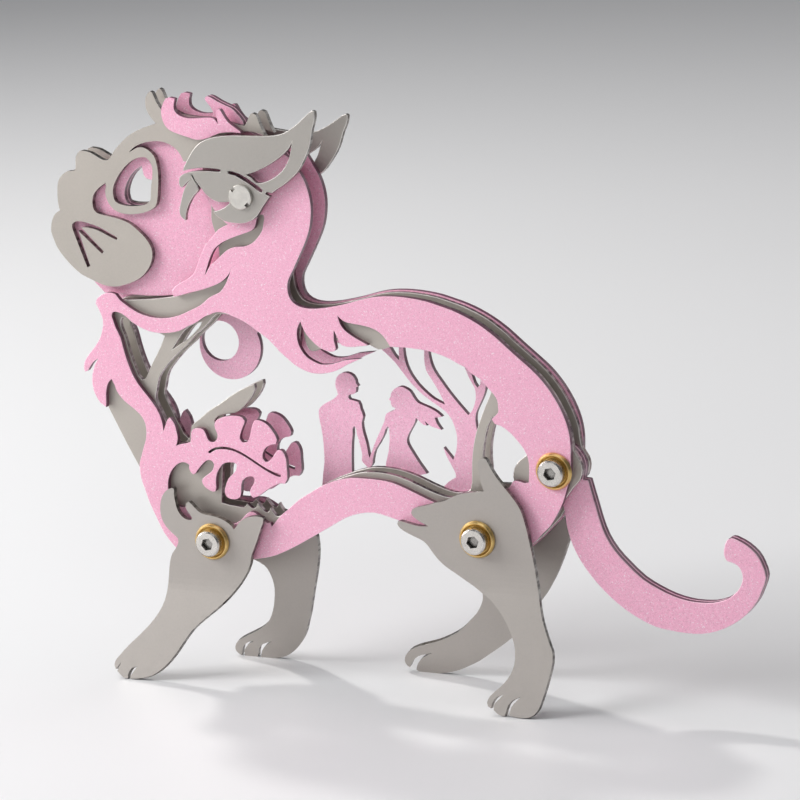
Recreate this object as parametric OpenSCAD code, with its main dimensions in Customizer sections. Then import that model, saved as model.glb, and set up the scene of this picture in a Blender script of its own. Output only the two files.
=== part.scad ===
// Layered big-cat figurine, cut from thin sheet metal and screwed together.
// Flat plates stand in the XZ plane and are stacked along Y.
// +X is the tail end, -X the muzzle, +Z up, the feet stand on Z = 0,
// and the origin is under the middle of the overall box.

/* [Plates] */
// Thickness of every plate
plate_t = 1; // [0.9:0.02:1.02]
// Air left between two stacked plates
plate_gap = 0.08; // [0.06:0.01:0.1]
// Facets per outline step: 2 is smooth, 1 is coarse
outline_steps = 2; // [1:1:3]

/* [Legs] */
// How far the front feet lean outward, degrees
front_splay = 15; // [14:0.5:16]
// How far the rear feet lean outward, degrees
rear_splay = 13; // [12:0.5:14]

/* [Fasteners] */
// Shank diameter of the screws and of the rivet
shank_d = 2; // [1.8:0.05:2]
// Radial running clearance of every hole
run_fit = 0.05; // [0.03:0.01:0.08]
// Diameter of the socket screw heads
screw_head_d = 4.2; // [4:0.1:4.2]
// Height of the socket screw heads
screw_head_h = 1.2; // [1.1:0.1:1.4]
// Outer diameter of the brass washers
brass_d = 6; // [5.9:0.1:6]
// Diameter of the rivet head
rivet_head_d = 3.95; // [3.5:0.05:4]

/* [Hidden] */
$fn = 48;

pitch = plate_t + plate_gap;
x_shift = 2.47;
pink = [0.95, 0.75, 0.82];
steel = [0.75, 0.73, 0.70];
gold = [0.80, 0.62, 0.30];

// pivots, as [x, z]
front_pivot = [-34.5, 23.1];
rear_pivot = [11.7, 27.0];
tail_pivot = [24.2, 38.4];
head_pivot = [-26.7, 79.6];
dowels = [[-57.2, 77.5], [-48.5, 67.5], [-37.6, 89.8], [-34.2, 89.9]];

shank_r = shank_d / 2;
hole_r = shank_r + run_fit;

// near face of layer k, counted 0 (near) to 5 (far)
function layer_y(k) = (k - 3) * pitch + plate_gap / 2;
leg_in = 3.8;                 // inner face of legs and ears
bend_lines = 6;               // each leg bends a little at each of these lines,
bend_step = 0.93;             // this far apart,
front_bend_z = 17;            // with the middle of the bend at this height
rear_bend_z = 21;
spacer_in = 3.25;
spacer_t = 0.5;
brass_t = 0.8;
brass_y = leg_in + plate_t + 0.05;
head_y = brass_y + brass_t + 0.05;
tail_brass_y = spacer_in;
tail_head_y = tail_brass_y + brass_t + 0.05;

// ---- smooth closed outlines -------------------------------------------
// Each outline is a ring of [x, z] points; a third entry marks a sharp corner.
function p2(p) = [p[0], p[1]];
function unit(v) = v / max(norm(v), 0.0001);
function nxt(P, i) = P[(i + 1) % len(P)];
function prv(P, i) = P[(i + len(P) - 1) % len(P)];
function dir_at(P, i) = unit(p2(nxt(P, i)) - p2(prv(P, i)));
function curve(a, b, ta, tb, u) =
    (2*u*u*u - 3*u*u + 1) * a + (u*u*u - 2*u*u + u) * ta
    + (-2*u*u*u + 3*u*u) * b + (u*u*u - u*u) * tb;
function ring(P) = [
    for (i = [0 : len(P) - 1])
        let (a = p2(P[i]), b = p2(nxt(P, i)), d = norm(b - a),
             line = (b - a),
             ta = len(P[i]) > 2 ? line : dir_at(P, i) * d,
             tb = len(nxt(P, i)) > 2 ? line : dir_at(P, (i + 1) % len(P)) * d,
             n = d < 0.7 ? 1 : outline_steps)
        for (j = [0 : n - 1]) curve(a, b, ta, tb, j / n)];

// upright plate between y0 and y0 + t, outline O, with see-through holes H
module plate(y0, t, O, H = []) {
    rings = concat([ring(O)], [for (h = H) ring(h)]);
    starts = [for (i = 0, s = 0; i < len(rings); s = s + len(rings[i]), i = i + 1) s];
    translate([0, y0 + t, 0]) rotate([90, 0, 0]) linear_extrude(height = t)
        polygon(points = [for (r = rings) for (q = r) q],
                paths = [for (i = [0 : len(rings) - 1])
                         [for (j = [0 : len(rings[i]) - 1]) starts[i] + j]]);
}
module along_y(p, y0, y1, r) {
    translate([p[0], y1, p[1]]) rotate([90, 0, 0]) cylinder(h = y1 - y0, r = r);
}
module tube_y(p, y0, y1, ro, ri) {
    difference() {
        along_y(p, y0, y1, ro);
        along_y(p, y0 - 1, y1 + 1, ri);
    }
}
module place() { translate([x_shift, 0, 0]) children(); }
module far_side() { mirror([0, 1, 0]) children(); }
function turned(P, c, a) = [for (p = P)
    let (q = p2(p) - c, r = [q[0]*cos(a) - q[1]*sin(a), q[0]*sin(a) + q[1]*cos(a)] + c)
    len(p) > 2 ? [r[0], r[1], 1] : r];

// ---- body outline -----------------------------------------------------
body_out = [
    [-17.4,83.8],[-18.3,85.3],[-19.8,86.3],[-21.5,86.6],[-24,87.6],[-27,87.9],[-30,87.2],[-33,85],[-34.8,82],
    [-34.4,80.4],[-32.4,77.1],[-30.9,75.4],[-30.1,74.75,1],[-31.75,73.9],[-33,72.5],[-34,71.5],[-35,69.75],
    [-35.75,68],[-36.5,66.5],[-38,65.4],[-39.5,64.6],[-40.5,63.5],[-40.25,62.6,1],[-39,62.9],[-37.5,63.4],
    [-36,63.75],[-34,64.4],[-32.5,65],[-31.25,65.75],[-30.4,66.6],[-30,67.25,1],[-30.5,66],[-31,65],[-32,63.75],
    [-32.5,63.5],[-34,62.75],[-35.5,61.5],[-37.5,60.5],[-39.5,59.6],[-41.5,59.1],[-43.75,59],[-46,59.4],
    [-47.5,60],[-49,60.9],[-50,61.6],[-50.75,62.5],[-51.4,62.7],[-52.6,62.6],[-54,61.75],[-54.4,60.9],
    [-54.1,60.25],[-53.6,59.25],[-53.25,58],[-53.4,56.75],[-53.9,55.25],[-54.9,53.75],[-56,52.5],[-56.9,51.25],
    [-57.2,50.25],[-57.05,49.4,1],[-56.5,49.6],[-55.9,50.5],[-55.25,51.25],[-54.5,51.7,1],[-55.1,50.75],
    [-55.6,49.5],[-55.8,48],[-55.7,46.75],[-55.25,45.5],[-54.5,44.4],[-53.45,43.7,1],[-53.4,45],[-53.3,46.5],
    [-52.9,47.75],[-52.25,48.45,1],[-51.75,47.5],[-51.4,46.5],[-50.25,45.1],[-48.75,44],[-47.5,43],[-46.75,42],
    [-46.4,40.75],[-46.5,39],[-47,37.5],[-47.5,36],[-47.9,34.75],[-47.9,33.75],[-47.75,32.25],[-47.25,30.75],
    [-46.4,28.25],[-45.3,25.9],[-44.05,23.4],[-42.3,21.3],[-40.5,19.7],[-38,18.9],[-34,18.6],[-31,19.2],
    [-28,20.2],[-26,20.6],[-24,21.2],[-21.5,22.4],[-19,23.8],[-16.5,25.3],[-14,26.8],[-11.5,28.3],[-9,29.2],
    [-6.5,29.5],[-4,29],[-2,28.5],[0,28.3],[3,26.8],[6,24.4],[9,22.8],[12,22.3],[15,22.8],[18,24.4],[20.5,26.6],
    [22,28.25],[23.25,29.5],[24.5,31.5],[25.4,33.25],[26,35],[26.5,36.75],[26.9,38.75],[26.95,40.75],[27,42.75],
    [26.75,44.75],[26.25,46.5],[25.5,48.25],[24.5,50],[23.25,51.75],[21.75,53.4],[20,54.9],[18,56.5],[16.5,57.75],
    [15,59],[13.6,60],[12,61],[10,62],[8,62.8],[6,63.4],[3.5,64.05],[1,64.4],[-1.25,64.55],[-3.5,64.5],
    [-5.5,64.25],[-7.5,63.75],[-10,63],[-12.5,62.4],[-14.75,62],[-16.5,61.9],[-18,62.1],[-19.25,62.75],
    [-19.9,63.75],[-20.1,65],[-19.9,66.3],[-19,68],[-17.8,70.3],[-16.8,72.3],[-16,74.3],[-15.6,76.3],
    [-15.5,78.3],[-15.8,80.3],[-16.5,82.3]];

// the big see-through window; the leaf hangs into it from the chest
body_win = [
    [-51.6,58.75],[-51.4,59.5],[-50.6,59.6],[-50,59.45],[-49,58.9],[-48,58.1],[-46.75,57.4],[-45,56.75],
    [-43,56.55],[-41.25,56.7],[-39.5,57.1],[-38,57.9],[-36.25,58.75],[-35,59.6],[-33.75,60.1],[-32.75,60.5],
    [-31.25,60.4],[-30,60],[-27.75,59.1],[-25.25,57.5],[-23.75,56.5],[-22,54.75],[-20.75,53.75],[-19.5,52.75],
    [-18,52],[-16.5,51.55],[-15,51.5],[-13.5,51.75],[-12,52.25],[-10.25,53.25],[-7.9,54.3,1],[-10.75,53.9],
    [-12.75,53.2],[-14.75,53],[-16,53.4],[-17.25,54.1],[-18.2,55.3],[-18.75,56.8],[-18.7,58.5],[-18.1,59.75,1],
    [-17.5,58.25],[-16.5,57],[-15,55.75],[-13.75,55.25],[-12.6,55.2],[-12.1,55.7],[-12.4,57],[-12.35,58.6,1],
    [-11.6,57],[-11.1,56.3],[-9.5,56.1],[-8,56.3],[-6.5,56.55,1],[-8,57.25],[-9.25,57.9],[-10.5,58.75],
    [-11.25,59.75],[-11.6,61,1],[-10.75,60.25],[-9.5,59.9],[-7,59.6],[-5.25,59.1],[-4,58.25],[-3.25,57.25],
    [-2.75,56.5,1],[-1,56.55],[0.5,56.5],[3,56.3],[5,55.9],[7,55.25],[8.75,54.4],[9.9,53.9],[11,52.9],
    [12.25,52.25],[13.5,50.9],[14.4,50],[15,49],[15.1,48],[15.1,47.1],[14,46,1],[14.5,45.25],[15.5,45],[17,44],
    [18.25,42.75],[19.25,41.5],[19.9,40],[20,38.25],[19.9,36.25,1],[19.25,36.1],[18,36.4],[17.25,36.25],
    [16.5,35],[14.5,33.8],[12,32.4],[9,31.6],[6.5,31.4],[4,31.9],[1.75,32.75],[-0.75,33.75],[-3.25,34.6],
    [-5.5,34.9],[-8,34.95],[-10.25,34.9],[-12,34.5],[-14,33.9],[-15.75,33.1],[-17.5,32],[-19.5,30.75],
    [-21.5,29],[-22.75,28],[-24.6,25.9,1],[-25.1,26.8],[-25.7,27.5],[-26.5,28],[-27.7,28.65],[-28.8,29],
    [-31.5,28.9],[-35,28.9],[-38,28.5],[-40.5,27.9],
    [-42.3,28.6],[-42.9,31],[-42.75,32.5],[-42.25,33.75],[-41.25,34.9],[-40.25,35.4],[-39.5,35.4],[-38.9,35.1],
    [-39,34.5],[-38.25,33.5],[-37.5,34.25],[-36.5,35.4],[-35.75,36],[-35,36.1],[-34.45,35.5],[-34.75,34.5],
    [-35.25,34],[-36.25,33.25],[-36.75,32.6],[-36.4,31.75],[-35.5,31.1],[-34.4,31],[-34.25,32.5],[-34,34],
    [-33,35.5],[-32.25,35.9],[-30.9,36],[-30.4,35.75],[-30.75,34.5],[-32,33.25],[-32.5,32.1],[-32.75,31],
    [-32.25,30.1],[-31,29.9],[-30,30.4],[-29.75,31.75],[-29.5,33.1],[-28.25,33.9],[-27.4,33.75],[-27.5,32.75],
    [-28.25,31.5],[-27.75,30.4],[-26,31.25],[-25,32],[-23,33.1],[-22,33.1,1],[-21.5,34],[-21.55,36],
    [-21.6,37.25],[-22.25,38.55],[-23.1,38.5],[-23.75,37.6],[-24.5,36.75],[-25.25,36.5],[-25.7,37],[-25.6,38],
    [-25,38.9],[-24,39.4],[-23.25,39.6],[-23.05,40.25],[-23.5,41.25],[-24.5,42.5],[-25.5,43.1],[-26.75,43.25],
    [-27.25,42.5],[-27.6,41.5],[-28,40],[-28.5,39.5],[-29.25,39.5],[-29.6,40],[-29.5,40.75],[-29,42],[-28.6,43],
    [-29,43.5],[-30,43.75],[-32,43.5],[-33.5,42.9],[-34,42.25],[-34,41.5],[-33.6,40.5],[-33.75,39.6],
    [-34.5,39.1],[-35.25,39.4],[-35.6,40.25],[-36.1,41.1],[-37,41.25],[-38,41],[-38.4,40],[-38.5,38.9],
    [-40,38.5],[-41.1,38.1,1],[-40.75,39.25],[-40.9,40.5],[-41.25,41.75],[-42,42.75,1],[-42.5,42.25],
    [-43.25,40.4,1],[-43.4,41.75],[-44,43.5],[-45,45],[-46.25,46.5],[-47.5,48],[-48.5,49.75],[-49.25,51.75],
    [-49.75,53.5],[-50.25,55.5],[-51,57],[-51.4,58.25]];
// cut from the near plate only, behind the shoulder of the leg
near_scoop = [
    [-24.6,26.6,1],[-25.4,26.4],[-26.4,27.1],[-27.4,27.85],[-28.3,28.05],[-29.2,27.5],[-30.2,26.4],[-31.5,25.8],
    [-33.5,25.9],[-36,26.3],[-38,27],[-40,28.4,1],[-38,29.5,1],[-30,29.6,1],[-26,29.4,1],[-24.2,28,1]];
leaf_vein = [
    [-35.4,37.5],[-34,38.3],[-32.25,38.5],[-30.5,38.2],[-28.75,37.45],[-27.25,36.6],[-25.5,35.6],[-24,34.95],
    [-22.6,34.6],[-22.7,34.15],[-24,34.5],[-25.5,35.2],[-27.25,36.2],[-28.75,37.05],[-30.5,37.8],[-32.25,38.1],
    [-34,37.9],[-35.2,37.2]];
shoulder_slot = [
    [-34.5,66.4,1],[-33.75,68.55],[-32.75,70.55],[-31.25,71.8],[-28.75,72.9],[-26.5,73.7],[-25.5,74.3],
    [-25.1,75.3],[-24.75,76.3],[-23.75,76.55],[-23.8,75.3],[-24.1,74.05],[-25,72.8],[-26,71.9],[-27.5,71.3],
    [-29,71.2],[-30.5,70.55],[-32.5,68.8],[-33.5,68.05],[-34.1,67.03]];

// inner steel plate: jaw strip, chest branch, leaf blade, hip band
inner_out = [
    [-27,87.6],[-30,87],[-32.8,84.8],[-34.6,82],[-34.2,79.5],[-33.4,77.5],[-33.5,75.5],[-33.2,74],[-32.6,72],
    [-32.4,70],[-32.6,68],[-33.4,66],[-35.5,64.2],[-38.5,63],[-41.5,62.3],[-45,61.8],[-48.5,61.5],[-50.4,61.4],
    [-52,60.8],[-53,59.6],[-52.9,58],[-53,56.75],[-53.6,55.3],[-54.6,54],[-55.2,52.6],[-54.9,51.2],[-55.3,49.5],
    [-55.4,47.5],[-54.9,45.3],[-53.7,43.5,1],[-50.6,37.5],[-48.5,33.7],[-47.4,31.3],[-46.2,28.3],[-45.1,25.9],
    [-43.85,23.4],[-42.3,21.5],[-40.5,19.9],[-38,19.1],[-34,18.8],[-31,19.4],[-28,20.4],[-26,20.8],[-24,21.4],
    [-21.5,22.6],[-19,24],[-16.5,25.5],[-14,27],[-11.5,28.5],[-9,29.4],[-6.5,29.7],[-4,29.2],[-2,28.7],[0,28.5],
    [3,27],[6,24.6],[9,23],[12,22.5],[15,23],[18,24.6],[20.5,26.8],[22,28.4],[23.2,29.7],[24.3,31.5],[25.2,33.3],
    [26.8,35.6],[28,37],[28.4,38.6],[28.1,39.9],[27.1,41.5],[26.7,44.5],[26.1,46.3],[25.3,48],[24.3,49.8],
    [23.1,51.5],[21.6,53.2],[19.9,54.7],[17.9,56.3],[16.4,57.5],[14.9,58.8],[13.5,59.8],[12,60.8],[10,61.8],
    [8,62.6],[6,63.2],[3.5,63.85],[1,64.2],[-1.25,64.35],[-3.5,64.3],[-5.5,64.05],[-7.5,63.55],[-10,62.8],
    [-12.5,62.2],[-14.75,61.8],[-16.5,61.7],[-18.3,61.9],[-19.7,62.5],[-20.5,63.7],[-20.9,65.2],[-21,67],
    [-20.6,70],[-20,74],[-19.6,78],[-20.2,82],[-22,85],[-24.3,86.9]];
inner_win = [
    [-34.5,58.8],[-33.3,59.9],[-31.5,60],[-30,59.6],[-27.9,58.6],[-25.5,57],[-24,56],[-22.2,54.3],[-21.2,53.6],
    [-20.5,54.3],[-20.3,56.3],[-19.9,58.5],[-19,60.3],[-18.4,60.2],[-18.2,58.5],[-17.95,56.6],[-17.2,54.95],
    [-16,54.9],[-14.5,55.6],[-13.3,56.5],[-12.3,57.3],
    [-11.2,57.6],[-9.5,57.6],[-7.5,56.8],[-5.3,55.7],[-3.6,56.1],[-2,56.6],[0.5,56.3],[3,56.1],[5,55.7],[7,55],
    [8.75,54.2],[11,52.6],[12.6,51.3],[13.6,50,1],[12.8,48.3],[11.8,46],[10.9,43.5],[10.3,41],[10,38.5],[9.9,36],
    [9.6,34.2],[8,33],[6,32.6],[4,33],[1.75,33.8],[-0.75,34.8],[-3.25,35.5],[-5.5,35.8],[-8,35.8],[-10.25,35.3],
    [-12,34.7],[-14,33.9],[-15.75,33.1],[-17.5,32],[-19.5,30.7],[-21.5,29],[-22.6,28.1],[-23.6,27.4],[-24.5,27.5],
    [-25.3,28.7,1],[-25.7,27.9],[-26.5,28.1],[-27.5,29.3,1],[-27.9,28.5],[-28.6,28.4],[-29.4,29.1,1],[-30,28.4],
    [-31.2,28.5],[-32.6,28.6],[-33.9,28.9,1],[-33.75,31],[-33.55,34],[-33.4,36.5],[-33.3,38.5],[-34,40.5],
    [-34.5,42.5],[-33,43.5],[-31,43.85],[-29.75,44.5],[-28.75,45.5],[-27.75,46.75],[-27.1,48.2],[-27.2,48.85,1],
    [-28.25,48.5],[-29.75,47.75],[-31.75,46.5],[-33.5,45.25],[-35.5,44],[-37.25,42.5],[-38.75,41.25],
    [-39.2,39.3],[-41,38.3],[-42.4,40.2],[-43.3,41.8],[-44.2,43.6],[-45,45.5],[-44.75,46.75],[-44.25,48.75],
    [-43.5,50],[-42,51.75],[-40.5,53.25],[-39,54.5],[-37.25,56.25],[-35.5,57.75]];
inner_throat = [
    [-50.3,58.5],[-48.5,57.7],[-46.5,57],[-44.5,56.5],[-42.8,55.9,1],[-43.5,54.3],[-44.5,52.5],[-45.5,50.8],
    [-46.4,49],[-47.3,48.4],[-48.3,50],[-49,51.9],[-49.5,53.6],[-50,55.5],[-50.6,57]];
inner_fork = [
    [-41.5,53.75,1],[-40.5,55.25],[-39.25,56.85],[-37.8,57.9],[-36,58.5,1],[-36.6,57.5],[-38.5,55.75],[-40.3,54.5]];
inner_hip = [
    [13.6,46],[12.4,43],[11.9,40],[11.95,37.5],[12.2,35.2],[13,33.8],[14.4,33.3],[15.6,33.8],[16.6,34.9],
    [17,35.9],[16.85,36.7,1],[17.1,38.1],[18,39.4],[19.3,40.4],[19.5,41.3],[18.6,42.5],[17.2,43.9],[15.9,44.9],[14.7,45.9]];

// ---- pictures cut in the far plate ---------------------------------------
man = [
    [-18.1,30.6,1],[-17.7,33.8],[-17.4,35.7],[-17.4,37.9],[-17.5,39.8],[-17.7,41.3],[-18,42.9],[-18,44.2],
    [-17.6,44.8],[-16.8,45.4],[-15.7,46],[-15,46.5],[-14.6,47.1],[-14.9,48.1],[-14.9,49.2],[-14.3,50.2],
    [-13.1,50.65],[-11.9,50.2],[-11.4,49.4],[-11.35,49],[-11,48.5],[-11.35,48.35],[-11.35,47.9],[-11.5,47.4],
    [-12,47.15],[-12.7,47],[-12.6,46.3],[-11.1,46],[-10.7,44.8],[-10.3,43.6],[-10.6,42.6],[-10.4,41],
    [-9.9,39.2],[-9.6,37.4],[-9.2,36.2],[-9.5,35.3],[-10.2,35.7],[-10.8,36.4],[-10.7,37.3],[-11,38.8],
    [-11.5,40.7],[-11.95,42],[-12.25,40.6],[-12.5,38.5],[-12.6,36],[-12.65,32.5,1]];
woman = [
    [-9.6,36.2],[-9.2,35.6],[-8.9,36.6],[-8.5,38.1],[-7.6,39.5],[-6.8,40.9],[-6.1,42.3],[-5.85,41.3],
    [-5.85,40.1],[-6.1,38.2],[-6.6,36.3],[-7.1,33.2,1],[-1.9,32.6,1],[-1.9,34.5,1],[0.4,35,1],[-0.9,36.7],
    [-1.9,38.2],[-2.7,39.5],[-2.85,40.3],[-2.6,41.1],[-2.1,42],[-1.4,43.2],[-1.2,44,1],[-0.5,43.4],
    [0.1,42.95],[0.7,42.85,1],[0.3,43.6,1],[1.2,42.9],[2.1,42.6],[3.15,42.3,1],[2.4,43.3],[2.05,44.25,1],
    [2.65,44.3],[3.3,44.45,1],[2.45,45.15],[1,45.85],[-0.7,46.45],[-1.4,47.2],[-2.05,48.2],[-3,48.75],[-3.8,48.9],[-4.8,48.4],[-5.35,47.6],[-5.4,47.2],[-5.75,46.65],[-5.4,46.5],
    [-5.4,46.05],[-5.2,45.6],[-4.6,45.35],[-5.4,44.8],[-6.3,44.3],[-6.6,43.2],[-7.3,41.7],[-8.1,40.1],[-8.9,38.3]];
tree = [
    [2.4,31.2,1],[2.8,32.4],[3.4,33.3],[4.3,34.1],[5.4,34.8,1],[5.3,35.5],[4.75,36.6],[3.9,38.1],[3.4,39.5,1],
    [4.1,38.65],[5,37.6,1],[5.6,39.2],[5.8,41.2],[5.5,42.8],[4.85,44.3],[3.9,45.4],[2.5,46.3],[0.2,47.8],
    [-1.8,49.6],[-3.3,51.4],[-4.45,52.8],[-6.1,54.3],[-7.6,55.4],[-9.3,56.5,1],[-8.2,57.3,1],[-6.8,56.7],
    [-5.75,55.8],[-5.1,54.9],[-4.5,53.95],[-3.75,53.2,1],[-3.7,55.6],[-3.85,58.7,1],[-2.8,58.3,1],[-2.95,55.5],
    [-2.85,53.9],[-2.5,52.4],[-1.75,50.9],[-0.6,49.4],[0.7,48.2],[2.1,47.2],[3.9,46.45,1],[3.5,47.4],
    [2.75,48.8],[1.8,50.3],[0.85,51.8],[0.6,53.5],[0.65,55.5],[0.6,57.3,1],[1.5,57.3,1],[1.35,55.1],[1.6,53.3],
    [2.2,51.8],[3.35,50.2],[4.8,48.3],[6.3,46.6],[7.8,45,1],[8.5,45.8],[9,47],[9.2,48.3],[9,49.5],[8.3,50.7],
    [7.6,52.3],[7.1,53.6],[6.6,56,1],[7.8,55.9,1],[8,53.8],[8.4,52.3],[9,50.3],[9.5,49.55,1],[9.9,49.9],
    [10.05,50.8],[9.9,52.2],[9.9,54.7,1],[11.8,53.6,1],[11.2,52.2],[10.95,50.8],[10.85,49.3],[10.4,48],
    [9.7,46.6],[9.15,45.4],[9,44.2],[9.2,42.7],[9.3,41],[9.3,38.8],[9.4,36.8],[9.8,35],[10.6,33.2],[11.4,31,1]];
moon_bridge = [[-35,61.4,1],[-34.6,58],[-32,57],[-28.6,55.6],[-27.6,60.4,1],[-31,61.6,1]];

// ---- head -------------------------------------------------------------------
face_out = [
    [-55.2,63.5,1],[-53.85,62.2,1],[-50,62.15],[-46,62.05],[-41.5,62.35],[-38,63.2],[-35,64.6],[-33,66.6],
    [-31,69],[-28,70.6],[-24.5,71.3],[-21,73.2],[-18.8,76],[-18,79.6],[-18.8,83],[-21,86.4],[-24,88.3],
    [-27.2,89.6],[-27.7,90.9],[-28.8,92.2],[-29.6,92.9],[-30.6,93.3],[-32,93.9],[-33.3,94.6],[-33.9,94.75],
    [-34.25,94.4],[-34.1,93.95],[-33.3,93],[-32.8,91.9],[-33.4,91.1,1],[-36,91],[-39,90.9],[-42,89.8],[-46,88.2],
    [-49,85.6],[-51.4,83.5],[-54,83.8],[-57,82],[-59.6,79.6],[-60,77],[-60.7,74],[-61,71.5],[-59.6,68.6],
    [-57.5,66]];
face_eye = [
    [-46,83.2,1],[-45.75,81.8],[-45.1,81.1],[-44.2,80.9],[-43.7,79.8],[-43.9,78.2],[-45,77.1],[-47,76.7],
    [-48.8,77],[-49.3,78.3],[-49.1,79.6],[-48.3,81.2],[-47.2,82.4]];
muzzle_out = [
    [-57.2,84.4],[-56.5,85.4],[-55.75,85.45],[-54.5,85.2],[-53.25,84.55],[-52.25,84.1],[-51.3,84.2],
    [-50.75,84.9],[-50,85.9],[-49,86.9],[-47.75,88],[-46.25,88.9],[-44.75,89.55],[-43.25,90.05],[-42.5,90.25,1],
    [-42.9,90.75],[-43.6,91.6],[-44.1,92.6],[-44.2,93.75],[-44,94.6],[-43.3,95.4],[-42.9,95.2],[-42.3,93.8],
    [-41.3,92.4],[-39.5,91.4],[-36,91],[-33,91],[-30,90.9],[-27.9,90.5],[-26.9,90.4,1],[-26.4,91.1],
    [-25.9,92.2],[-25.5,92.45],[-24.9,92.2],[-24.4,91],[-23.9,89.8],[-23.4,88.9,1],[-25,89.4],[-26.7,89.55],
    [-30,89],[-32.6,87.8],[-34.6,86],[-35.8,84.4],[-37.9,84.4,1],[-38.4,85.4],[-39.25,86.4],[-40.25,87],
    [-41.5,87.4],[-42.75,87.45],[-44.25,87.25],[-45.5,86.9],[-46.75,86.25],[-47.6,85.45,1],[-47,85.8],
    [-46,86.3],[-45,86.35],[-44,85.9],[-43.1,85],[-42.7,83.75],[-42.55,82.5],[-42.55,81],[-42.7,79.5],[-42.9,78],
    [-43.25,77],[-44,76.4],[-45,75.95],[-46.5,75.6],[-48,75.45],[-49.5,75.6],[-50.75,76.1],[-51.6,77],
    [-52.05,78],[-52.2,79],[-52.0,79.9],[-52.1,80.4,1],[-53.25,79.6],[-54.1,78.75],[-54.55,77.75],[-54.6,76.75],
    [-54.4,75.9],[-54,75.5],[-53,75.2],[-51.25,74.9],[-49.5,74.5],[-48,73.9],[-46.5,72.75],[-45.4,71.75],
    [-44.55,70.5],[-44.25,69.4],[-44.4,68.25],[-45,66.9],[-46.25,65.5],[-47.75,64.55],[-49.5,63.9],[-51,63.55],
    [-52.5,63.55],[-54,63.9],[-55.5,64.5],[-57.25,65.25],[-58.75,66.4],[-60.25,67.9],[-61.4,69.4],[-62,70.75],
    [-62.4,72],[-62.4,72.75],[-62.1,74],[-61.5,75],[-60.6,75.6,1],[-60.75,76.1],[-60.9,77],[-60.9,78.5],
    [-60.75,80],[-60.25,81],[-59,82],[-58.1,82.1],[-57.4,82.25,1],[-57.3,83.25]];
muzzle_eye = [
    [-45.6,84.75],[-46.5,84.5],[-47.75,83.75],[-49.25,82.25],[-50.4,80.5],[-50.8,79.25],[-50.75,78.25],
    [-50.4,77.4],[-49.25,76.95],[-47.75,76.8],[-46,76.95],[-44.75,77.3],[-44.1,78],[-44,79],[-43.8,80.5],
    [-43.55,82],[-43.55,83.25],[-44,84.25],[-44.6,84.75]];
whiskers = [
    [-58.5,73.4],[-57.6,73.95],[-55.75,73.75],[-53.5,73.1],[-51.5,72.1],[-50.4,71.5],[-50.6,71.2],[-52.5,72],
    [-54,72.65],[-55.75,73],[-56.9,72.95,1],[-53,69.2,1],[-53.35,68.8,1],[-57.45,72.4,1],[-55.6,66.7,1],
    [-56.15,66.45,1],[-58.45,72.5]];
crown_out = [
    [-40.8,93],[-40.9,92],[-40.7,91],[-40.25,90.1],[-39.4,89.4],[-38,88.9],[-36.5,88.5],[-34.9,88.1],
    [-33,88.4],[-30.8,89.3],[-28.5,89.5],[-27,89.4],[-27.2,89.7],[-28,90.2],[-29.25,91.1],[-30.1,92.25],
    [-30.6,93.05],[-31.1,93.05],[-31.3,92.5],[-31.1,91.5],[-31,90.7,1],[-31.5,91.4],[-32.25,91.7],[-34,91.6],
    [-35.75,91.45],[-37,91.6],[-38.1,92.1],[-38.6,92.75],[-38.6,93.75],[-38.4,94.5],[-38.75,94.6],[-39.4,94.7],
    [-40,94.5]];
ear_out = [
    [-13.9,93.6],[-13.5,93.45],[-13.6,92],[-14,90.75],[-14.25,89.5],[-14.6,88],[-15.25,86.5],[-16,85.1],
    [-16.9,83.75],[-18,82.75],[-19.25,81.75],[-20.5,81],[-21.4,80.35,1],[-22.4,80.5],[-22.5,80.15],[-21.75,79.85,1],[-22.5,78.9],[-23.25,77.9],
    [-24,76.75],[-24.9,76],[-26,75.5],[-27.25,75.3],[-28.75,75.4],[-29.9,75.6],[-31,76.25],[-31.75,77,1],
    [-30.75,77.3],[-29.75,77.75],[-28.9,78.4,1],[-28.9,78.7,1],[-29.75,78.6],[-30.75,78.6],[-31.75,78.9],
    [-32.75,79.6],[-33.75,80.75],[-34.7,81.9,1],[-34.1,80.5],[-35,79.5],[-36,78],[-36.55,76.5],[-36.7,75.4,1],
    [-37.4,75.9],[-37.7,76.75],[-37.45,78],[-37,79.5],[-36.5,80.75],[-35.7,81.9,1],[-37.1,80.6,1],[-37.45,80.9],
    [-37.55,81.6],[-37.3,82.4],[-36.75,82.8],[-35.5,83.2],[-34,83.4],[-32,83.45],[-30.2,83.4],[-30.1,83.7],
    [-31.5,83.9],[-33.25,83.95],[-35,83.75],[-36.5,83.4],[-36.8,83.3],[-36.25,84.5],[-35.5,85.75],[-34.5,87.1],
    [-33.25,88.1],[-31.75,88.7],[-30,89.05],[-27.5,89.25],[-25,89.25],[-22.5,89.3],[-20.5,89.5],[-19,89.9],
    [-17.5,90.75],[-16,91.9],[-14.5,93.25]];
ear_slit = [
    [-28.85,83.6],[-27.4,83.35],[-25.9,82.75],[-24.4,81.8],[-22.95,80.75],[-23.2,80.35],[-24.7,81.3],
    [-26.25,82.2],[-27.8,82.95],[-28.8,83.15]];
ear_crescent = [
    [-17.6,88.4,1],[-18.25,87.4],[-19.25,86.5],[-20.75,85.4],[-22.5,84.4],[-24.25,83.6],[-25.75,83.1,1],
    [-24.75,82.6],[-24,81.9],[-22.75,82],[-21,82.75],[-19.5,83.9],[-18.5,85.25],[-18,86.5]];

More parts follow.
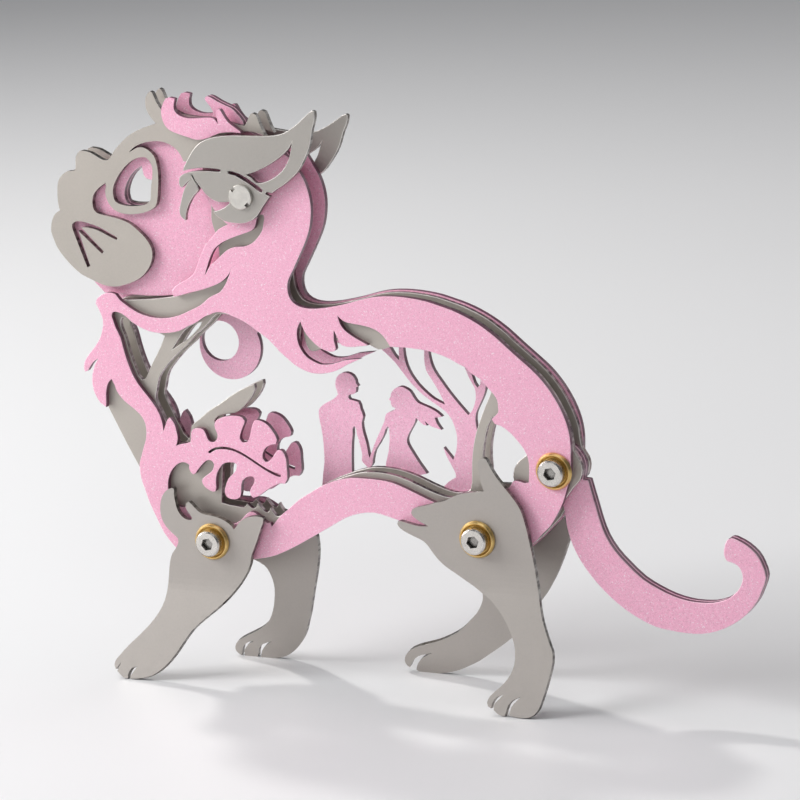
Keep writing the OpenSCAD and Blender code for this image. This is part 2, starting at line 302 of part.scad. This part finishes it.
// ---- legs and tail ---------------------------------------------------------------
near_front = [
    [-41.1,31.4],[-42,31.25],[-42.9,30.5],[-43.5,29.25],[-43.7,27.75],[-43.5,26.25],[-42.75,24.9],[-41.5,23.75],
    [-40.75,23.1],[-40.7,22.5],[-41.1,21.6],[-41.9,20.5],[-42.4,19],[-42.6,17],[-42.75,14.75],[-43.1,12.75],
    [-44,10.75],[-45.4,8.75],[-47.25,6.75],[-49,5],[-50.5,3.25],[-51.25,2.25],[-51.4,1.5],[-51.1,0.9,1],
    [-50.25,2,1],[-50.8,0.6,1],[-50.1,0],[-49.5,-0.4],[-48.75,-0.4,1],[-48.85,0.1],[-48.2,1.3],[-47.25,1.65,1],
    [-47.85,0.75],[-48.35,-0.1],[-48.3,-0.45,1],[-47.5,-0.4],[-46,-0.1],[-44.5,0.4],[-43,1.4],[-41.5,2.9],
    [-40.25,4.6],[-39,6.6],[-37.75,8.4],[-36.25,9.9],[-34.5,11.4],[-32.75,13],[-31.25,14.6],[-29.75,16.5],
    [-28.5,18.5],[-27.9,20],[-27.75,21],[-27.25,22.25],[-26.5,24],[-25.75,26],[-25.25,27.5],[-25.9,27.8],
    [-27,27.8],[-28.5,27.4],[-29.6,26.6],[-30.25,25.75],[-30.6,25.4,1],[-31,25.9],[-32,26.6],[-33.25,27.1],
    [-34.75,27.4],[-36.25,27.6],[-37.25,28.25],[-38,29],[-38.5,29.4],[-39,29.1],[-39.1,28.5],[-38.75,27.75],
    [-38,26.75],[-38.2,26.4],[-39,26.4],[-39.9,26.9],[-40.6,27.9],[-40.95,29.25],[-41.1,30.5]];
far_front = [
    [-40.6,30.6],[-41.7,30.3],[-42.4,29],[-42.4,27.3],[-41.6,25.6],[-40.2,24],[-39.6,22.4],[-38.8,20.9],
    [-37,19.4],[-34,18.6],[-31.6,18.1],[-29.75,17.25],[-29,16.25],[-28.55,14.75],[-28.5,13.25],[-28.9,11],
    [-29.5,9],[-30.5,7],[-32,5.5],[-33.75,4.4],[-35.5,3.4],[-37,2.4],[-37.7,1.25],[-37.6,0.4],[-37,-0.2],
    [-36.7,-0.3,1],[-36.2,1.4],[-35.1,2.4],[-34,2.75,1],[-35.2,1.9],[-36,0.9],[-36.2,-0.4,1],[-35.25,-0.5],
    [-33.8,-0.3,1],[-33.3,1.3],[-32.4,2.3],[-30.6,3,1],[-32,2],[-32.8,1],[-33.2,-0.3,1],[-31.75,-0.4],[-30,-0.1],
    [-28.5,0.4],[-27,1.4],[-25.5,3],[-24.25,5],[-23.5,7],[-22.75,9],[-22,11.5],[-21.25,14],[-20.5,16.5],[-20,19],
    [-19.9,21.5],[-20.4,23.8],[-22,25.3],[-24.5,26.3],[-27,27],[-29.6,26.6],[-30.6,25.4,1],[-32,26.6],
    [-34.75,27.4],[-36.8,27.7],[-38.4,29],[-39,28.6],[-38.4,27],[-39.4,26.6],[-40.3,27.9],[-40.5,29.4]];
near_rear = [
    [13,40.1],[12.4,39.9],[12.1,39],[12.3,37.5],[12.6,36],[13,34.75,1],[11.5,34.55],[10,34.3],[8.5,33.9],
    [7.25,33.25],[6.25,32.75],[5,32.4],[3.5,31.9],[2,31.5],[0.75,31],[0.55,30.4],[1,29.75],[2,29.1],[3.4,28.45,1],
    [2,28.35],[0.25,28.6],[-1,28.9],[-1.75,28.9],[-1.9,28.45],[-1.4,27.75],[-0.25,27.1],[1.25,26.5],[2.5,25.95],
    [3.25,25.25],[4,24.25],[5,23.1],[6.25,22.1],[7.75,21.25],[9.5,20.25],[11,19.4],[12.5,18.4],[14,17.4],
    [15.25,16.1],[16.5,14.5],[17.5,12.75],[18.25,11],[18.55,9.25],[18.5,7.75],[18,6.25],[17,4.75],[15.75,3.5],
    [14.75,2.5],[14.3,1.5],[14.5,0.9],[15,0.65,1],[15.3,1.75],[16,2.55],[17,3,1],[16.2,2.1],[15.55,1.3],
    [15.5,0.4,1],[15.9,0.1],[16.4,-0.25],[17.4,-0.4,1],[17.9,1.4],[18.7,2.3],[19.9,2.9,1],[19.1,2],[18.4,1.1],
    [18.2,-0.2,1],[19.5,-0.4],[20.25,-0.4],[21.25,-0.3],[22.25,0.25],[23,1.25],[23.5,2.75],[24,4.5],[24.5,6.75],
    [24.8,8.5],[24.7,10.25],[24.25,11.25],[23.5,13],[22.75,15],[22.25,17],[21.9,19],[21.4,21.5],[20.9,24.5],
    [20.5,26.5],[20.1,28.5],[19.6,30.5],[19,32.25],[18,33.75],[16.75,35.25],[15.25,37],[14.25,38.5],[13.5,39.9]];
far_rear = [
    [12.4,33.9],[10,33.7],[7.25,33.1],[4,32],[1.2,30.9],[1.6,29.8],[3.4,28.45,1],
    [1,28.4],[0.2,27.8],[1.5,26.6],[3.2,25.3],[4.4,23.6],[5.6,22],[6.8,20.2],[7.8,17.6],[8.1,14.9],[7.75,13.5],
    [6.75,11.75],[5.25,10],[3.5,8.25],[1.5,6.9],[-0.75,5.75],[-2.5,5.1],[-4.25,4.5],[-5.75,3.75],[-6.9,2.6],
    [-7.25,1.5],[-7,0.75],[-6.5,0.3,1],[-5.9,1.4],[-4.7,2.6],[-2.2,3.4,1],[-3.9,2.4],[-4.9,1.3],[-5.4,0,1],
    [-4.9,-0.35],[-4.25,-0.5],[-2,-0.4],[0,0],[2,0.6],[4,1.6],[6,2.75],[8,4.25],[10,5.75],[12.1,7.5],[14.2,9.7],
    [16,12],[17.75,14.4],[19,16],[20.25,18],[21.5,20.25],[22.5,22.5],[23.25,24.5],[23.6,26],[23.3,28],[22.4,30],
    [20.8,31.7],[19,32.9],[17,33.6],[14.8,33.9]];
tail_out = [
    [24.9,31.25],[25.1,29.5],[25.75,27],[26.75,24.75],[28,22.75],[29.75,20.6],[32,18.4],[34.5,16.5],[37,15.1],
    [39.5,14.1],[42,13.7],[44.5,13.5],[47,13.6],[49.5,14.25],[52,15.5],[54.25,17.25],[56,19.5],[56.9,21.5],
    [57.5,23.5],[56.9,25.5],[56,27],[54.5,28.25],[53,29],[52,29.25],[51.25,28.75],[50.9,27.75],[50.8,26.5],
    [51.25,25.6],[52,25.4],[52.9,25],[53.5,24.25],[53.75,23],[53.4,21.75],[52.5,20.5],[51,19.4],[49,18.75],
    [47,18.6],[45,18.7],[42.5,19.25],[40,20.25],[37.5,21.6],[35,23.75],[33.1,25.7],[31.6,28],[30.65,30.5],
    [29.95,33],[29.45,34.7],[28.9,36.7,1],[28,36.75,1],[28.3,38.5],[27.9,40.2],[26.7,41.7],[25,42.45],[23,42.35],
    [21.2,41.2],[20.2,39.6],[20.1,37.8],
    [21,35.8],[22.8,34.4],[24.3,33.2]];

// ---- fasteners -----------------------------------------------------------------
// socket screw with its head on the near side; under-head face at y = -yh
module screw(p, yh, y_end) {
    difference() {
        union() {
            along_y(p, -yh - 0.01, y_end, shank_r);
            translate([p[0], -yh, p[1]]) rotate([90, 0, 0])
                rotate_extrude($fn = 64) polygon([[0, 0], [screw_head_d/2, 0],
                    [screw_head_d/2, screw_head_h - 0.25], [screw_head_d/2 - 0.25, screw_head_h], [0, screw_head_h]]);
        }
        translate([p[0], -yh - screw_head_h + 0.8, p[1]]) rotate([90, 0, 0])
            rotate([0, 0, 12]) cylinder(h = 2, r = 1.05, $fn = 6);
    }
}
module nut(p, y0) {
    difference() {
        translate([p[0], y0 + 1.5, p[1]]) rotate([90, 0, 0]) rotate([0, 0, 20]) cylinder(h = 1.5, r = 2.25, $fn = 6);
        along_y(p, y0 - 1, y0 + 3, hole_r);
    }
}
// dished washer, on the near side, its inner face at y = -y0
module brass(p, y0) {
    difference() {
        translate([p[0], -y0, p[1]]) rotate([90, 0, 0])
            rotate_extrude($fn = 64) polygon([[0, 0], [brass_d/2 - 0.15, 0], [brass_d/2, 0.2], [brass_d/2 - 0.12, 0.45],
                [brass_d/2 - 0.3, 0.7], [brass_d/2 - 0.42, 0.7], [brass_d/2 - 0.6, 0.45], [brass_d/2 - 0.75, 0.38],
                [screw_head_d/2 + 0.04, 0.38], [screw_head_d/2 - 0.1, brass_t], [0, brass_t]]);
        along_y(p, -y0 - 2, -y0 + 1, hole_r);
    }
}

// ---- plates and pieces ----------------------------------------------------------
module bores(list) { for (p = list) along_y(p, -12, 12, hole_r); }
all_pivots = [front_pivot, rear_pivot, tail_pivot, head_pivot];

module near_body_plate() { color(pink) place() difference() {
    plate(layer_y(0), plate_t, body_out, [body_win, leaf_vein, shoulder_slot]);
    plate(layer_y(0) - 0.5, plate_t + 1, near_scoop);
    bores(all_pivots); } }
module far_body_plate() { color(pink) place() difference() {
    union() {
        plate(layer_y(5), plate_t, body_out, [body_win, leaf_vein, shoulder_slot]);
        plate(layer_y(5), plate_t, man);
        plate(layer_y(5), plate_t, woman);
        plate(layer_y(5), plate_t, tree);
        plate(layer_y(5), plate_t, moon_bridge);
        along_y([-33.3, 53.8], layer_y(5), layer_y(5) + plate_t, 5.45);
    }
    along_y([-35, 54.6], layer_y(5) - 1, layer_y(5) + plate_t + 1, 3.3);
    bores(all_pivots); } }
module inner_plate(k) { color(steel) place() difference() {
    plate(layer_y(k), plate_t, inner_out, [inner_win, inner_throat, inner_fork, inner_hip]);
    bores(all_pivots); } }
module near_inner_plate() { inner_plate(1); }
module far_inner_plate() { inner_plate(4); }

module face_plate(k) { color(pink) place() difference() {
    plate(layer_y(k), plate_t, face_out, [face_eye]);
    bores([head_pivot]);
    for (p = dowels) along_y(p, -12, 12, 0.55); } }
module near_face_plate() { face_plate(2); }
module far_face_plate() { face_plate(3); }
module muzzle_plate() { color(steel) place() difference() {
    plate(layer_y(1), plate_t, muzzle_out, [muzzle_eye, whiskers]);
    for (i = [0 : 1]) along_y(dowels[i], -1.65, 0, 0.55);
    for (i = [2 : 3]) along_y(dowels[i], -5, 0, 0.55); } }
module near_muzzle_plate() { muzzle_plate(); }
module far_muzzle_plate() { far_side() muzzle_plate(); }
module crown_plate() { color(pink) place() difference() {
    plate(layer_y(0), plate_t, crown_out);
    for (i = [2 : 3]) along_y(dowels[i], -2.75, 0, 0.55); } }
module near_crown_plate() { crown_plate(); }
module far_crown_plate() { far_side() crown_plate(); }
module ear(a) { color(steel) place() difference() {
    plate(-leg_in - plate_t, plate_t, turned(ear_out, head_pivot, a),
        [turned(ear_slit, head_pivot, a), turned(ear_crescent, head_pivot, a)]);
    bores([head_pivot]); } }
module near_ear() { ear(0); }
module far_ear() { far_side() ear(-7.5); }

// a leg, drawn flat, then bent outward a little at each of n lines, and cut level at the floor
module bent_strip(P, yo, z, n, a) {
    intersection() {
        plate(yo, plate_t, P);
        translate([-80, -20, n == 0 ? -10 : z - 0.1])
            cube([160, 40, n == 0 ? 10.1 + z + bend_step : n == bend_lines ? 80 : bend_step + 0.2]);
    }
    if (n > 0) translate([0, yo, z]) rotate([-a, 0, 0]) translate([0, -yo, -z])
        bent_strip(P, yo, z - bend_step, n - 1, a);
}
module leg(P, pivot, bend_z, a) {
    color(steel) place() difference() {
        bent_strip(P, -leg_in - plate_t, bend_z + bend_step * (bend_lines - 1) / 2, bend_lines, a / bend_lines);
        translate([-80, -20, -10]) cube([160, 40, 10]);
        bores([pivot]);
    }
}
module near_front_leg() { leg(near_front, front_pivot, front_bend_z, front_splay); }
module far_front_leg() { far_side() leg(far_front, front_pivot, front_bend_z, front_splay); }
module near_rear_leg() { leg(near_rear, rear_pivot, rear_bend_z, rear_splay); }
module far_rear_leg() { far_side() leg(far_rear, rear_pivot, rear_bend_z, rear_splay); }

module tail_plate(k) { color(pink) place() difference() {
    plate(layer_y(k), plate_t, tail_out);
    bores([tail_pivot]); } }
module near_tail_plate() { tail_plate(2); }
module far_tail_plate() { tail_plate(3); }

module front_screw() { color(steel) place() screw(front_pivot, head_y, head_y + 1.8); }
module rear_screw() { color(steel) place() screw(rear_pivot, head_y, head_y + 1.8); }
module tail_screw() { color(steel) place() screw(tail_pivot, tail_head_y, tail_head_y + 1.8); }
module front_nut() { color(steel) place() nut(front_pivot, head_y); }
module rear_nut() { color(steel) place() nut(rear_pivot, head_y); }
module tail_nut() { color(steel) place() nut(tail_pivot, tail_head_y); }
module brass_set() {
    brass(front_pivot, brass_y);
    brass(rear_pivot, brass_y);
    brass(tail_pivot, tail_brass_y);
}
module near_brass_washers() { color(gold) place() brass_set(); }
module far_brass_washers() { color(gold) place() far_side() brass_set(); }
module leg_spacers() { color(steel) place() for (p = [front_pivot, rear_pivot]) {
    tube_y(p, -spacer_in - spacer_t, -spacer_in, 2.4, hole_r);
    tube_y(p, spacer_in, spacer_in + spacer_t, 2.4, hole_r);
} }
module ear_spacers() { color(steel) place() {
    tube_y(head_pivot, -spacer_in - spacer_t, -spacer_in, 2, hole_r);
    tube_y(head_pivot, spacer_in, spacer_in + spacer_t, 2, hole_r);
} }
module front_sleeve() { color(steel) place() tube_y(front_pivot, -pitch, pitch, 2.4, hole_r); }
module rear_sleeve() { color(steel) place() tube_y(rear_pivot, -pitch, pitch, 2.4, hole_r); }
// rivet: flat head with two rim notches, plain shank
module head_rivet() { color(steel) place() difference() {
    union() {
        along_y(head_pivot, -brass_y - 0.01, brass_y + 0.35, shank_r);
        translate([head_pivot[0], -brass_y, head_pivot[1]]) rotate([90, 0, 0])
            rotate_extrude($fn = 64) polygon([[0, 0], [rivet_head_d/2, 0], [rivet_head_d/2, 0.38],
                [rivet_head_d/2 - 0.12, 0.5], [0, 0.5]]);
    }
    for (a = [135, 315]) translate([head_pivot[0], -brass_y, head_pivot[1]]) rotate([0, -a, 0])
        translate([rivet_head_d/2 - 0.55, -1, -0.35]) cube([2, 2, 0.7]);
} }
module head_rivet_cap() { color(steel) place() tube_y(head_pivot, brass_y, brass_y + 0.5, rivet_head_d/2, hole_r); }
module head_dowels() { color(steel) place() {
    for (i = [0 : 1]) along_y(dowels[i], -1.6, 1.6, 0.5);
    for (i = [2 : 3]) along_y(dowels[i], -2.7, 2.7, 0.5);
} }

near_body_plate();
near_inner_plate();
far_inner_plate();
far_body_plate();
near_face_plate();
far_face_plate();
near_muzzle_plate();
far_muzzle_plate();
near_crown_plate();
far_crown_plate();
near_ear();
far_ear();
near_front_leg();
far_front_leg();
near_rear_leg();
far_rear_leg();
near_tail_plate();
far_tail_plate();
front_screw();
rear_screw();
tail_screw();
front_nut();
rear_nut();
tail_nut();
near_brass_washers();
far_brass_washers();
leg_spacers();
ear_spacers();
front_sleeve();
rear_sleeve();
head_rivet();
head_rivet_cap();
head_dowels();
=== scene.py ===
import math

import bpy
from mathutils import Matrix, Vector

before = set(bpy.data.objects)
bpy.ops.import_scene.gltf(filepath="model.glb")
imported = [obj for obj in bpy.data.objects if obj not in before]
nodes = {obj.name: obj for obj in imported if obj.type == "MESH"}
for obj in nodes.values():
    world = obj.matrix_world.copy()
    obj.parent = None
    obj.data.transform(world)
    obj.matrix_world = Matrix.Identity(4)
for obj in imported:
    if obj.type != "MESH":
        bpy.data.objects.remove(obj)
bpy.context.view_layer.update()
scene = bpy.context.scene

PINK = [n for n in nodes if n.endswith(("body_plate", "face_plate", "crown_plate", "tail_plate"))]
PLATE = [n for n in nodes if n.endswith(("inner_plate", "muzzle_plate", "_ear", "_leg"))]
BRASS = [n for n in nodes if n.endswith("brass_washers")]
HARD = [n for n in nodes if n not in PINK + PLATE + BRASS]


# ---------------------------------------------------------------- materials
class Mat:
    """A small helper that adds and joins shader nodes."""

    def __init__(self, name):
        self.m = bpy.data.materials.new(name)
        self.m.use_nodes = True
        self.t = self.m.node_tree
        self.bsdf = next(n for n in self.t.nodes if n.type == "BSDF_PRINCIPLED")
        self.co = self.add("ShaderNodeTexCoord")

    def add(self, kind, **props):
        n = self.t.nodes.new(kind)
        for k, v in props.items():
            setattr(n, k, v)
        return n

    def link(self, a, b):
        self.t.links.new(a, b)

    def noise(self, scale, detail=2.0, rough=0.5, stretch=(1, 1, 1)):
        mp = self.add("ShaderNodeMapping")
        mp.inputs["Scale"].default_value = stretch
        self.link(self.co.outputs["Object"], mp.inputs["Vector"])
        n = self.add("ShaderNodeTexNoise")
        n.inputs["Scale"].default_value = scale
        n.inputs["Detail"].default_value = detail
        n.inputs["Roughness"].default_value = rough
        self.link(mp.outputs["Vector"], n.inputs["Vector"])
        return n.outputs["Fac"]

    def cells(self, scale):
        v = self.add("ShaderNodeTexVoronoi")
        v.inputs["Scale"].default_value = scale
        self.link(self.co.outputs["Object"], v.inputs["Vector"])
        sep = self.add("ShaderNodeSeparateColor")
        self.link(v.outputs["Color"], sep.inputs["Color"])
        return sep.outputs

    def remap(self, val, a, b, c, d):
        r = self.add("ShaderNodeMapRange")
        for i, x in zip(("From Min", "From Max", "To Min", "To Max"), (a, b, c, d)):
            r.inputs[i].default_value = x
        self.link(val, r.inputs["Value"])
        return r.outputs["Result"]

    def mix(self, fac, a, b):
        n = self.add("ShaderNodeMix", data_type="RGBA")
        self.put(n.inputs[0], fac)
        self.put(n.inputs[6], a)
        self.put(n.inputs[7], b)
        return n.outputs[2]

    def put(self, sock, v):
        if isinstance(v, bpy.types.NodeSocket):
            self.link(v, sock)
        elif isinstance(v, (tuple, list)):
            sock.default_value = (*v, 1.0) if len(v) == 3 else v
        else:
            sock.default_value = v

    def math(self, op, a, b=0.0):
        n = self.add("ShaderNodeMath", operation=op)
        self.put(n.inputs[0], a)
        self.put(n.inputs[1], b)
        return n.outputs[0]

    def rim(self):
        """1 on the plates' cut edges, 0 on their flat faces, from the object's own normals."""
        sep = self.add("ShaderNodeSeparateXYZ")
        self.link(self.co.outputs["Normal"], sep.inputs[0])
        self.ny = self.math("ABSOLUTE", sep.outputs[1])
        return self.remap(self.ny, 0.6, 0.35, 0.0, 1.0)

    def corner_highlight(self):
        """1 on the narrow softened corner between a face and a cut edge, where the materials paint a highlight; rim()
        comes first.
        """
        return self.math("MULTIPLY", self.remap(self.ny, 0.88, 0.80, 0.0, 1.0), self.remap(self.ny, 0.5, 0.6, 0.0, 1.0))

    def bump(self, height, strength, dist):
        b = self.add("ShaderNodeBump")
        b.inputs["Strength"].default_value = strength
        b.inputs["Distance"].default_value = dist
        self.link(height, b.inputs["Height"])
        self.link(b.outputs["Normal"], self.bsdf.inputs["Normal"])


def pink_paint(name, base=(0.94, 0.46, 0.63)):
    m = Mat(name)
    flake = m.cells(8600)
    fine = m.noise(3400, 2, 0.6)
    cloud = m.noise(60, 3, 0.5)
    rim = m.rim()
    corner_highlight = m.corner_highlight()
    col = m.mix(m.remap(fine, 0.35, 0.65, 0, 1), tuple(c * 0.90 for c in base), base)
    col = m.mix(m.remap(cloud, 0.35, 0.65, 0, 0.25), col, (0.95, 0.52, 0.68))
    # light and dark flakes of glitter under the lacquer
    col = m.mix(m.remap(flake[0], 0.84, 0.97, 0, 0.55), col, (1.0, 0.76, 0.84))
    col = m.mix(m.remap(flake[1], 0.80, 0.97, 0, 0.38), col, (0.55, 0.17, 0.30))
    # painted glints: near-white specks where the glitter flakes catch the light
    painted_glint = m.cells(6400)
    col = m.mix(m.remap(painted_glint[0], 0.968, 0.982, 0, 0.55), col, (1.0, 0.92, 0.95))
    # painted shade: the cut edges are painted a dark, streaked magenta for the shade they lie in
    edge = m.mix(m.noise(900, 2, 0.5, (1, 0.15, 1)), (0.095, 0.030, 0.055), (0.27, 0.085, 0.155))
    col = m.mix(rim, col, edge)
    # painted highlight: the narrow corners between faces and cut edges are lightened to a pale pink
    m.put(m.bsdf.inputs["Base Color"], m.mix(m.math("MULTIPLY", corner_highlight, 0.45), col, (0.95, 0.72, 0.80)))
    m.put(m.bsdf.inputs["Metallic"], m.math("MULTIPLY", m.remap(flake[2], 0.7, 0.95, 0.05, 0.45), m.remap(rim, 0, 1, 1, 0.4)))
    m.put(m.bsdf.inputs["Roughness"], m.remap(flake[0], 0, 1, 0.36, 0.54))
    m.bsdf.inputs["Coat Weight"].default_value = 0.45
    m.bsdf.inputs["Coat Roughness"].default_value = 0.30
    m.bump(m.math("ADD", fine, m.math("MULTIPLY", flake[1], 0.6)), 0.35, 0.00003)
    return m.m


def satin_steel(name, face=(0.525, 0.485, 0.44), edge_a=(0.12, 0.11, 0.105), edge_b=(0.40, 0.38, 0.36)):
    m = Mat(name)
    grain = m.noise(3200, 3, 0.7)
    cloud = m.noise(45, 3, 0.5)
    heat = m.noise(140, 2, 0.5)
    dark = tuple(c * 0.88 for c in face)
    col = m.mix(m.remap(grain, 0.3, 0.7, 0, 1), dark, face)
    col = m.mix(m.remap(cloud, 0.3, 0.7, 0, 0.35), col, tuple(min(1, c * 1.1) for c in face))
    # laser marks run across the cut, from face to face
    marks = m.noise(1500, 2, 0.5, (1, 0.08, 1))
    edge = m.mix(m.remap(marks, 0.35, 0.65, 0, 1), edge_a, edge_b)
    edge = m.mix(m.remap(heat, 0.5, 0.8, 0, 0.5), edge, (0.26, 0.20, 0.15))
    rim = m.rim()
    corner_highlight = m.corner_highlight()
    # painted highlight: the narrow corners between faces and cut edges are lightened to a pale steel colour
    m.put(m.bsdf.inputs["Base Color"], m.mix(m.math("MULTIPLY", corner_highlight, 0.8), m.mix(rim, col, edge), (0.86, 0.83, 0.79)))
    m.put(m.bsdf.inputs["Metallic"], m.remap(rim, 0, 1, 0.72, 0.92))
    rough = m.math("SUBTRACT", m.remap(grain, 0.3, 0.7, 0.44, 0.60), m.math("MULTIPLY", corner_highlight, 0.16))
    m.put(m.bsdf.inputs["Roughness"], m.math("SUBTRACT", rough, m.math("MULTIPLY", rim, 0.16)))
    m.bump(m.math("ADD", grain, m.math("MULTIPLY", marks, rim)), 0.30, 0.00003)
    return m.m


def polished(name, col, rough=0.22, metal=1.0, recess_shade=0.16):
    m = Mat(name)
    wear = m.noise(900, 3, 0.6)
    brush = m.noise(2400, 2, 0.5, (1, 6, 1))
    c = m.mix(m.remap(wear, 0.35, 0.7, 0, 1), tuple(x * 0.86 for x in col), col)
    # painted shade: the colour darkens in the recesses that the AO node finds, down to the given fraction of the colour
    ao = m.add("ShaderNodeAmbientOcclusion", samples=6, only_local=True)
    ao.inputs["Distance"].default_value = 0.0012
    c = m.mix(m.remap(ao.outputs["AO"], 0.45, 0.9, 0, 1), tuple(x * recess_shade for x in col), c)
    m.put(m.bsdf.inputs["Base Color"], c)
    m.bsdf.inputs["Metallic"].default_value = metal
    m.put(m.bsdf.inputs["Roughness"], m.remap(brush, 0.3, 0.7, rough, rough + 0.12))
    m.bump(brush, 0.12, 0.00002)
    return m.m


pink = pink_paint("pink_glitter_paint")
# painted light: the far body plate gets a lighter copy of the pink paint, to lift it out of the shade the near plates
# cast on it
pink_far_lightened = pink_paint("pink_glitter_paint_far_lightened", (1.0, 0.53, 0.71))
plate = satin_steel("satin_plate")
# painted reflection: the inner steel plates' cut edges get a pinkish tone for the pink plates they reflect
inner_plate = satin_steel("satin_inner_plate_pink_reflection", edge_a=(0.15, 0.10, 0.115), edge_b=(0.46, 0.37, 0.385))
leg_plate = satin_steel("satin_leg_plate", face=(0.485, 0.45, 0.42))
ear_plate = satin_steel("satin_ear_plate", face=(0.445, 0.42, 0.39))
brass = polished("brass", (0.85, 0.60, 0.24), 0.26, recess_shade=0.62)
screw = polished("screw_steel", (0.74, 0.71, 0.67), 0.20)
rivet = polished("rivet_steel", (0.78, 0.75, 0.70), 0.34)


def paint(names, mat):
    for n in names:
        d = nodes[n].data
        d.materials.clear()
        d.materials.append(mat)
        for p in d.polygons:
            p.material_index = 0


paint(PINK, pink)
paint(["far_body_plate"], pink_far_lightened)
paint(PLATE, plate)
paint([n for n in PLATE if n.endswith("_inner_plate")], inner_plate)
paint([n for n in PLATE if n.endswith("_leg")], leg_plate)
paint([n for n in PLATE if n.endswith("_ear")], ear_plate)
paint(BRASS, brass)
paint(HARD, screw)
paint(["head_rivet", "head_rivet_cap"], rivet)

# ---------------------------------------------------------------- softened rims
for n in PINK + PLATE:
    o = nodes[n]
    w = o.modifiers.new("weld", "WELD")
    w.merge_threshold = 4e-5 if n.endswith("_leg") else 1e-6
    b = o.modifiers.new("rim", "BEVEL")
    b.width = 0.0001
    b.segments = 1
    b.limit_method = "ANGLE"
    b.angle_limit = math.radians(50)
    b.use_clamp_overlap = True
    b.harden_normals = False

# ---------------------------------------------------------------- floor
bpy.ops.mesh.primitive_plane_add(size=8, location=(0, 0, 0))
floor = bpy.context.object
floor.name = "floor"
fm = Mat("pale_floor")
fc = fm.mix(fm.noise(3, 2, 0.5), (0.80, 0.80, 0.81), (0.84, 0.84, 0.85))
fm.put(fm.bsdf.inputs["Base Color"], fc)
fm.bsdf.inputs["Roughness"].default_value = 0.45
floor.data.materials.append(fm.m)

# ---------------------------------------------------------------- light
world = bpy.data.worlds.new("studio")
scene.world = world
world.use_nodes = True
bg = world.node_tree.nodes["Background"]
bg.inputs[0].default_value = (0.93, 0.95, 1.0, 1)
bg.inputs[1].default_value = 0.12


def area(name, loc, to, size, power, col=(1, 1, 1)):
    d = bpy.data.lights.new(name, "AREA")
    d.shape = "RECTANGLE"
    d.size, d.size_y = size
    d.energy = power
    d.color = col
    o = bpy.data.objects.new(name, d)
    scene.collection.objects.link(o)
    o.location = loc
    o.rotation_euler = (Vector(to) - Vector(loc)).to_track_quat("-Z", "Y").to_euler()
    return o


area("key", (-0.42, 0.30, 0.62), (0, 0, 0.04), (0.06, 0.06), 2.0, (1.0, 0.98, 0.95))
area("front", (0.10, -0.9, 0.8), (0, 0, 0.05), (0.9, 0.6), 2.2)
area("left_front", (-0.62, -0.42, 0.50), (0, 0, 0.05), (0.40, 0.40), 5.6)
area("left", (-0.8, -0.12, 0.25), (0, 0, 0.05), (0.4, 0.4), 3.1)
area("top", (0.1, 0.1, 1.1), (0, 0, 0), (0.8, 0.8), 2.2)
area("back", (0.45, 0.80, 0.40), (0, 0, 0.05), (0.5, 0.5), 0.8)

# ---------------------------------------------------------------- camera
AZ, EL, ROLL, DIST = math.radians(24), math.radians(13), math.radians(2), 0.6
TARGET = Vector((0.00107, -0.0032, 0.0481))
d = Vector((-math.sin(AZ) * math.cos(EL), math.cos(AZ) * math.cos(EL), -math.sin(EL)))
r0 = Vector((math.cos(AZ), math.sin(AZ), 0))
u0 = r0.cross(d)
r = r0 * math.cos(ROLL) - u0 * math.sin(ROLL)
u = r0 * math.sin(ROLL) + u0 * math.cos(ROLL)
cam_data = bpy.data.cameras.new("camera")
cam = bpy.data.objects.new("camera", cam_data)
scene.collection.objects.link(cam)
rot = Matrix((r, u, -d)).transposed().to_4x4()
cam.matrix_world = Matrix.Translation(TARGET - d * DIST) @ rot
cam_data.sensor_width = 36
cam_data.lens = 172.8
cam_data.clip_start, cam_data.clip_end = 0.01, 20
scene.camera = cam
scene.view_settings.view_transform = "Standard"

bpy.context.view_layer.update()
